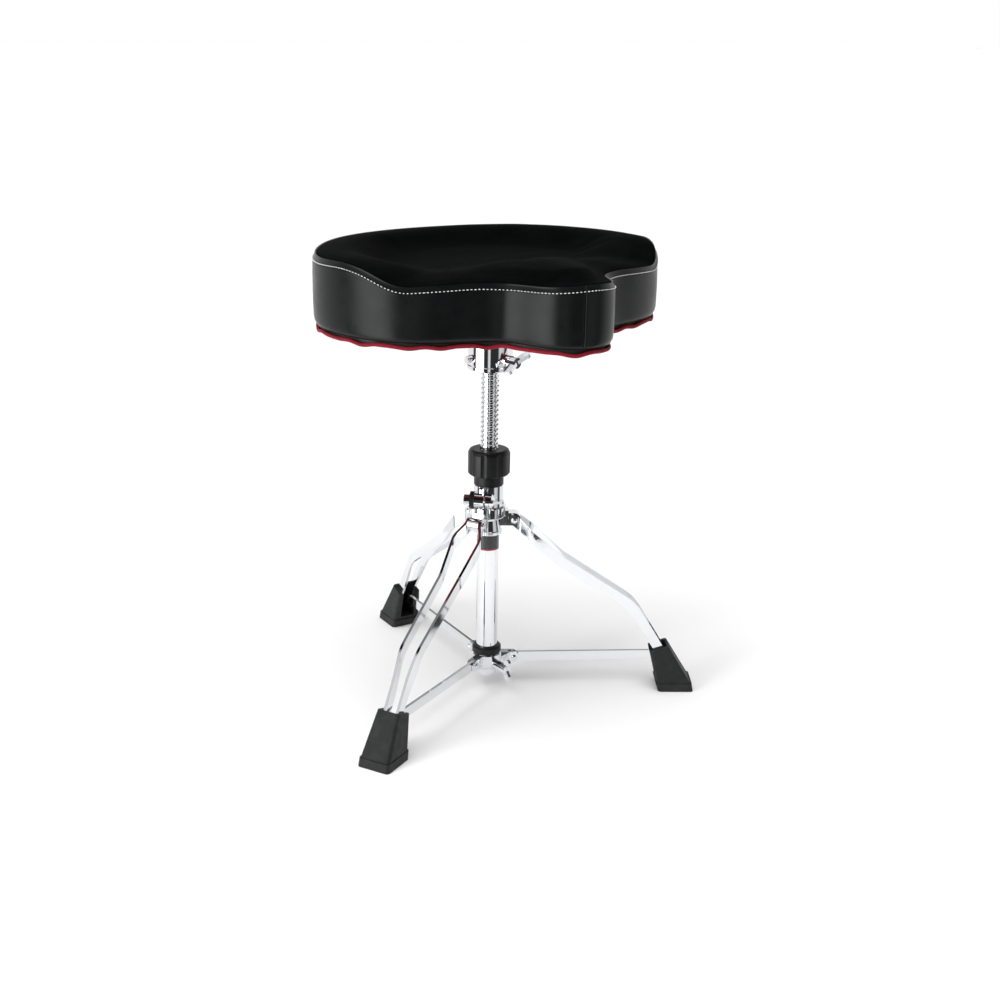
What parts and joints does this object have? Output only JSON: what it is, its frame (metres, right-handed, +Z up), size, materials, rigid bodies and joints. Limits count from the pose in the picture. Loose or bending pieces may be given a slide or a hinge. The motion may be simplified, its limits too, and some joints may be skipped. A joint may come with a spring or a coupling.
{
  "type": "drum throne",
  "caption": "Saddle-shaped padded drum stool on a threaded height rod with a swivel seat, a split height clamp and a folding double-braced tripod with rubber feet.",
  "frame": {"origin": "on the post's axis at the floor, in the plane of the three foot soles", "axes": "+Z up along the post; the seat's nose points to -Y; leg 1 points to -30 degrees, leg 2 to +Y (the rear) and leg 3 to 210 degrees"},
  "size_m": [0.5068, 0.5095, 0.6026],
  "materials": {
    "chrome": "mirror chrome plate",
    "black_plastic": "satin moulded nylon",
    "black_label": "plain glossy band",
    "red_label": "plain glossy stripe",
    "brass": "turned",
    "zinc_steel": "zinc plated",
    "red_fabric": "woven cover, wavy free edge",
    "board_wood": "dark stained plywood",
    "black_vinyl": "semi-gloss vinyl, fine grain, pale stitching",
    "foam": "moulded foam",
    "black_velour": "short-pile velour",
    "black_rubber": "moulded matte rubber"
  },
  "bodies": {
    "base": {"base_tube": "chrome", "tube_end_plug": "chrome", "label_band": "black_label", "label_stripe": "red_label", "upper_hub": "chrome", "clamp_sleeve": "chrome", "clamp_washer": "black_plastic", "clamp_nut": "chrome", "rod_liner": "black_plastic", "knob_collar": "black_plastic"},
    "clamp_lever": {"clamp_lever": "chrome"},
    "height_nut": {"height_knob": "black_plastic", "height_nut": "brass"},
    "rod": {"threaded_rod": "chrome", "rod_guide": "black_plastic"},
    "seat": {"seat_receiver": "chrome", "receiver_screw": "chrome", "seat_bolts": "zinc_steel", "tee_nuts": "zinc_steel", "seat_underside_cover": "red_fabric", "seat_base_board": "board_wood", "seat_side_vinyl": "black_vinyl", "seat_foam": "foam", "seat_top_cloth": "black_velour"},
    "receiver_wing_bolt": {"receiver_wing_bolt": "chrome"},
    "lower_hub": {"lower_hub": "chrome", "lower_hub_ring": "black_plastic", "stay_1_pin": "chrome", "stay_2_pin": "chrome", "stay_3_pin": "chrome"},
    "lower_wing_bolt": {"lower_wing_bolt": "chrome"},
    "leg_1": {"leg_1_right_bar": "chrome", "leg_1_left_bar": "chrome", "leg_1_pivot_bolt": "chrome", "leg_1_foot": "black_rubber", "leg_1_foot_pins": "zinc_steel"},
    "stay_1": {"stay_1": "chrome"},
    "leg_2": {"leg_2_right_bar": "chrome", "leg_2_left_bar": "chrome", "leg_2_pivot_bolt": "chrome", "leg_2_foot": "black_rubber", "leg_2_foot_pins": "zinc_steel"},
    "stay_2": {"stay_2": "chrome"},
    "leg_3": {"leg_3_right_bar": "chrome", "leg_3_left_bar": "chrome", "leg_3_pivot_bolt": "chrome", "leg_3_foot": "black_rubber", "leg_3_foot_pins": "zinc_steel"},
    "stay_3": {"stay_3": "chrome"}
  },
  "joints": [
    {"name": "seat_height", "type": "slide", "parent": "base", "child": "rod", "axis": [0, 0, 1], "range_m": [-0.088, 0.065]},
    {"name": "height_nut_turn", "type": "hinge", "parent": "base", "child": "height_nut", "pos_m": [0, 0, 0.3185], "axis": [0, 0, 1], "range_deg": [-3660, 4952]},
    {"name": "seat_swivel", "type": "hinge", "parent": "rod", "child": "seat", "pos_m": [0, 0, 0.465], "axis": [0, 0, 1], "continuous": true},
    {"name": "receiver_wing_turn", "type": "hinge", "parent": "seat", "child": "receiver_wing_bolt", "pos_m": [0.00726, -0.02911, 0.4575], "axis": [0.2419, -0.9703, 0], "range_deg": [0, 540]},
    {"name": "height_clamp_turn", "type": "hinge", "parent": "base", "child": "clamp_lever", "pos_m": [-0.018, -0.02145, 0.2735], "axis": [0.766, -0.6428, 0], "range_deg": [0, 540]},
    {"name": "leg_1_fold", "type": "hinge", "parent": "base", "child": "leg_1", "pos_m": [0.02944, -0.017, 0.2415], "axis": [0.5, 0.866, 0], "range_deg": [0, 33]},
    {"name": "leg_2_fold", "type": "hinge", "parent": "base", "child": "leg_2", "pos_m": [0, 0.034, 0.2415], "axis": [-1, 0, 0], "range_deg": [0, 33]},
    {"name": "leg_3_fold", "type": "hinge", "parent": "base", "child": "leg_3", "pos_m": [-0.02944, -0.017, 0.2415], "axis": [0.5, -0.866, 0], "range_deg": [0, 33]},
    {"name": "lower_hub_slide", "type": "slide", "parent": "base", "child": "lower_hub", "axis": [0, 0, 1], "range_m": [0, 0.111]},
    {"name": "stay_1_swing", "type": "hinge", "parent": "lower_hub", "child": "stay_1", "pos_m": [0.03204, -0.0185, 0.0425], "axis": [0.5, 0.866, 0], "range_deg": [0, 76.5]},
    {"name": "stay_2_swing", "type": "hinge", "parent": "lower_hub", "child": "stay_2", "pos_m": [0, 0.037, 0.0425], "axis": [-1, 0, 0], "range_deg": [0, 76.5]},
    {"name": "stay_3_swing", "type": "hinge", "parent": "lower_hub", "child": "stay_3", "pos_m": [-0.03204, -0.0185, 0.0425], "axis": [0.5, -0.866, 0], "range_deg": [0, 76.5]},
    {"name": "lower_wing_turn", "type": "hinge", "parent": "lower_hub", "child": "lower_wing_bolt", "pos_m": [0.00417, -0.02971, 0.037], "axis": [0.1392, -0.9903, 0], "range_deg": [0, 540]}
  ],
  "couplings": [
    {"joint": "height_nut_turn", "follows": "seat_height", "rad_per_m": -981.75},
    {"joint": "leg_2_fold", "follows": "leg_1_fold", "ratio": 1},
    {"joint": "leg_3_fold", "follows": "leg_1_fold", "ratio": 1},
    {"joint": "lower_hub_slide", "follows": "leg_1_fold", "m_per_rad": 0.19099},
    {"joint": "stay_1_swing", "follows": "leg_1_fold", "ratio": 2.303},
    {"joint": "stay_2_swing", "follows": "leg_1_fold", "ratio": 2.303},
    {"joint": "stay_3_swing", "follows": "leg_1_fold", "ratio": 2.303}
  ]
}
